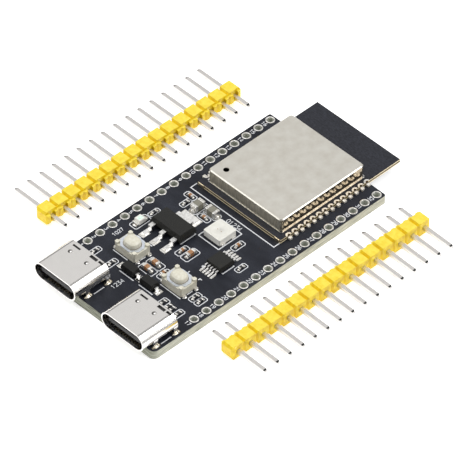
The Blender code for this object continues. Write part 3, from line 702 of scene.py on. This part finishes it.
for count, turned in ((1, False), (2, True)):
    low, high = (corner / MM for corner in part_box(f"bulk_capacitor_{count}"))
    middle = (low + high) / 2
    long, wide = ((high - low).y, (high - low).x) if turned else ((high - low).x, (high - low).y)
    bm = bmesh.new()
    for side in (1, -1):
        near, far = sorted((side * (0.26 * long), side * (long / 2 + 0.02)))
        block(bm, (near, -wide / 2 - 0.02, low.z - 0.02), (far, wide / 2 + 0.02, high.z + 0.02), 0.08)
        mound(bm, (side * (long / 2 + 0.12), 0), (0.42, 0.52 * wide), 0.5)
    bmesh.ops.transform(bm, verts=bm.verts, matrix=turned_to(middle.xy, turned))
    finish_piece(f"bulk_capacitor_{count}_ends", bm, "board", "pin_tin", solder)

# ---------------------------------------------------------------- the radio module's own board
# A thin black board soldered flat on the main one by half-round, gold-plated holes along both
# sides. Its end hangs over the main board's, where the aerial is printed under the mask.
MODULE_LOW, MODULE_HIGH = (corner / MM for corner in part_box("module_board"))
MODULE_TOP = MODULE_HIGH.z
CAN_LOW, CAN_HIGH = (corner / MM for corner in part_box("shield_can"))
NOTCH_PITCH = 1.27
NOTCH_X = [2.95 + NOTCH_PITCH * i for i in range(14)]
NOTCH_R = 0.25
NOTCH_STEPS = 10
RING_WIDE = 0.27
# The walls of the half-round holes are painted dark brown: painted shade inside the gold-plated holes.
half_hole_painted_shade = clouded(
    "half_hole_wall", (0.3, 0.2, 0.1), 0.4, 0.15, (0.12, 0.07, 0.04), (0.5, 0.36, 0.2), metallic=0.6)
joint_solder = clouded(
    "joint_solder", (0.8, 0.78, 0.73), 0.3, 0.2, (0.6, 0.57, 0.5), (0.95, 0.93, 0.88), metallic=0.45)
module_mask, module_bsdf = shader("module_mask", (0.011, 0.012, 0.018), 0.5, Specular_IOR_Level=0.3)
weave = grain(module_mask, 0.15, stretch=(1, 0.35, 1), detail=4.0)
fibre = grain(module_mask, 0.4, stretch=(0.5, 0.5, 3))
coat = mixed(module_mask, weave, (0.009, 0.01, 0.015), (0.024, 0.026, 0.036))
height = axis_of(module_mask, "Object", "Z")
through = {"From Min": MODULE_LOW.z * MM, "From Max": MODULE_TOP * MM, "To Min": -1, "To Max": 1}
level = node(module_mask, "MapRange", {"Value": height, **through}).outputs[0]
copper = maths(module_mask, "GREATER_THAN", maths(module_mask, "ABSOLUTE", level), 0.5)
core = mixed(module_mask, fibre, (0.06, 0.045, 0.03), (0.2, 0.16, 0.1))
edge = mixed(module_mask, copper, core, (0.95, 0.82, 0.56))
side = sides_only(module_mask)
surface = mixed(module_mask, side, coat, edge)
wire(module_mask, module_bsdf, surface, spread(module_mask, side, 0.5, 0.6), weave, 0.006)
dress(module_mask, "module_board")
bm = bmesh.new()
for x in NOTCH_X:
    for side in (1, -1):
        edge_y = MODULE_HIGH.y if side > 0 else MODULE_LOW.y
        arcs = []
        for radius, z in (
            (NOTCH_R - 0.03, BOARD_TOP + 0.06), (NOTCH_R - 0.03, MODULE_TOP + 0.03),
            (NOTCH_R + RING_WIDE, MODULE_TOP + 0.03), (NOTCH_R + RING_WIDE, MODULE_TOP - 0.01),
        ):
            arc = []
            for step in range(NOTCH_STEPS + 1):
                angle = math.pi * step / NOTCH_STEPS
                away = Vector((math.cos(angle), -side * math.sin(angle), 0))
                arc.append(bm.verts.new((Vector((x, edge_y, z)) + away * radius) * MM))
            arcs.append(arc)
        for first, second, paint in zip(arcs, arcs[1:], (0, 1, 1)):
            for i in range(NOTCH_STEPS):
                face = bm.faces.new((first[i], first[i + 1], second[i + 1], second[i]))
                face.material_index = paint
finish_piece("module_edge_pads", bm, "board", "pin_tin", half_hole_painted_shade, joint_solder)
bm = bmesh.new()
for x in NOTCH_X:
    for side in (1, -1):
        edge_y = MODULE_HIGH.y if side > 0 else MODULE_LOW.y
        y = edge_y + side * 0.3
        block(bm, (x - 0.3, y - 0.27, BOARD_TOP), (x + 0.3, y + 0.33, BOARD_TOP + 0.45), 0.12)
x = MODULE_LOW.x
for y in (MODULE_HIGH.y - 0.75, MODULE_LOW.y + 0.75):
    block(bm, (x - 0.1, y - 0.55, BOARD_TOP), (x + 0.1, y + 0.55, MODULE_TOP - 0.05), 0.06, paint=1)
finish_piece("module_solder", bm, "board", "pin_tin", joint_solder, gold)

# ---------------------------------------------------------------- the screening can
# Drawn tin-plated steel over the radio's chips, faintly stained on top and soldered to the module all
# round its foot. Its two ends are painted brighter and its flanks browner: painted reflection.
can_tin, can_bsdf = shader("can_tin", (0.66, 0.63, 0.58), 0.35, metallic=1.0)
stain = grain(can_tin, 1.6, detail=5.0, low=0.3, high=0.7)
brushed = grain(can_tin, 0.3, stretch=(1, 1, 0.2))
side = sides_only(can_tin)
top_colour = mixed(can_tin, stain, (0.64, 0.61, 0.545), (0.73, 0.71, 0.65))
x_facing_painted_light = maths(can_tin, "ABSOLUTE", axis_of(can_tin, "Normal", "X"))
smoothness = spread(can_tin, side, 0.36, spread(can_tin, x_facing_painted_light, 0.12, 0.5))
# The ends' brighter copy and the flanks' browner copy of the tin are painted reflection.
ends = mixed(can_tin, brushed, (0.62, 0.58, 0.48), (0.82, 0.78, 0.66))
flanks_painted_reflection = mixed(can_tin, brushed, (0.3, 0.235, 0.155), (0.44, 0.37, 0.27))
sides_painted_reflection = mixed(can_tin, x_facing_painted_light, flanks_painted_reflection, ends)
wire(can_tin, can_bsdf, mixed(can_tin, side, top_colour, sides_painted_reflection), smoothness, stain, 0.01)
dress(can_tin, "shield_can")
inside_chip = clouded("inside_chip", (0.01, 0.01, 0.01), 0.4, 0.2, (0.008, 0.008, 0.008), (0.02, 0.02, 0.02))
dress(inside_chip, "processor_chip", "memory_chip")
crystal_can = clouded(
    "crystal_can", (0.6, 0.58, 0.54), 0.25, 0.2, (0.5, 0.48, 0.44), (0.7, 0.68, 0.63), metallic=1.0)
dress(crystal_can, "clock_crystal")
bm = bmesh.new()
for y, wide in ((CAN_LOW.y - 0.08, 0.2), (CAN_HIGH.y + 0.08, 0.2)):
    ribbon(bm, ((CAN_LOW.x + 0.1, y), (CAN_HIGH.x - 0.1, y)), wide, MODULE_TOP - 0.01, 0.06)
for x, wide in ((CAN_LOW.x - 0.04, 0.09), (CAN_HIGH.x + 0.04, 0.09)):
    ribbon(bm, ((x, CAN_LOW.y + 0.1), (x, CAN_HIGH.y - 0.1)), wide, MODULE_TOP - 0.01, 0.05)
finish_piece("can_seam", bm, "board", "can_tin", solder)

# ---------------------------------------------------------------- the two pin strips
# Sixteen square, tin-plated brass pins pressed through a row of yellow nylon blocks. The strips
# are supplied loose, to be soldered into the plated holes by the buyer.
yellow, yellow_bsdf = shader("yellow_nylon", (0.84, 0.57, 0.02), 0.38)
dye = grain(yellow, 0.7, detail=5.0)
# The strips' upright faces take a deeper, darker yellow than their tops: painted shade.
lit = mixed(yellow, dye, (0.82, 0.62, 0.03), (0.88, 0.72, 0.07))
deep = mixed(yellow, dye, (0.76, 0.5, 0.0), (0.88, 0.66, 0.0))
surface = mixed(yellow, sides_only(yellow, 0.9), lit, deep)
wire(yellow, yellow_bsdf, surface, spread(yellow, dye, 0.45, 0.32), grain(yellow, 0.12), 0.004)
# The dark spot on the pins' upper faces near their -Y end is painted shade.
SHADE_SPOT_FROM, SHADE_SPOT_TO = 0.018, 0.042  # the dark spot by a pin's -Y end, in shares of its length
pin_tin, pin_bsdf = shader("pin_tin", (0.72, 0.69, 0.66), 0.3, metallic=1.0)
drawn = grain(pin_tin, 0.2, stretch=(1, 0.1, 1))
along_pin = axis_of(pin_tin, "Generated", "Y")
past = maths(pin_tin, "GREATER_THAN", along_pin, SHADE_SPOT_FROM)
before = maths(pin_tin, "LESS_THAN", along_pin, SHADE_SPOT_TO)
upper = maths(pin_tin, "GREATER_THAN", axis_of(pin_tin, "Normal", "Z"), 0.5)
tip = maths(pin_tin, "MULTIPLY", maths(pin_tin, "MULTIPLY", past, before), upper)
shank = mixed(pin_tin, drawn, (0.68, 0.655, 0.63), (0.76, 0.74, 0.72))
wire(pin_tin, pin_bsdf, mixed(pin_tin, tip, shank, (0.03, 0.03, 0.03)), spread(pin_tin, drawn, 0.32, 0.26))
for count in (1, 2):
    dress(yellow, f"header_{count}_housing")
    dress(pin_tin, *(f"header_{count}_pin_{i:02d}" for i in range(1, HOLES + 1)))
